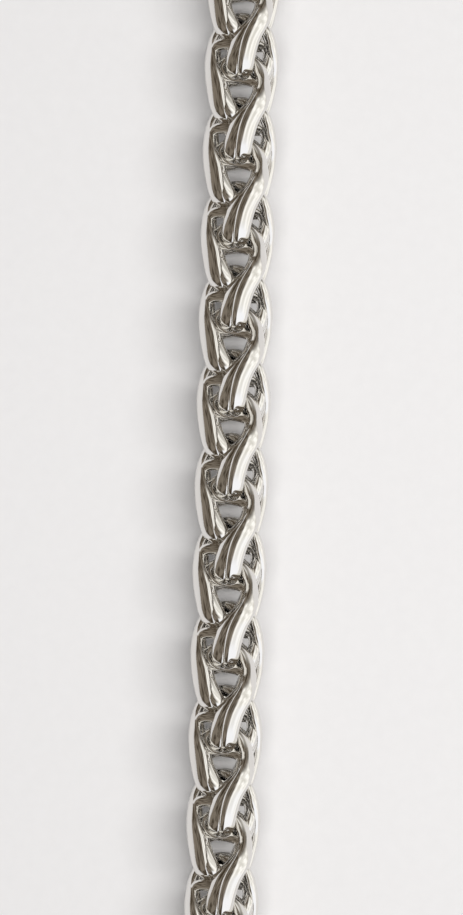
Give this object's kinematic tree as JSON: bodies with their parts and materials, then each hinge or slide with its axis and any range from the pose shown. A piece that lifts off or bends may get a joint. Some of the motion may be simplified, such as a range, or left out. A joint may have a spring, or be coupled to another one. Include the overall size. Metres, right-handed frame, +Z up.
{
  "type": "wheat-pattern neck chain",
  "caption": "Polished woven neck chain of folded wire links in a wheat pattern, laid flat as a closed loop, with a ring clasp and plain jump rings.",
  "frame": {"origin": "middle of the laid loop's box, on the surface that it lies on", "axes": "+Z up from the surface, +Y along the two long sides of the loop, +X towards the side that the picture shows"},
  "size_m": [0.148, 0.2378, 0.007],
  "materials": {
    "polished_wire": "mirror polished",
    "polished_clasp": "mirror polished"
  },
  "bodies": {
    "root": {"chain": "polished_wire", "end_ring": "polished_wire", "link_ring": "polished_wire", "tip_ring": "polished_wire", "clasp": "polished_clasp"}
  },
  "joints": []
}
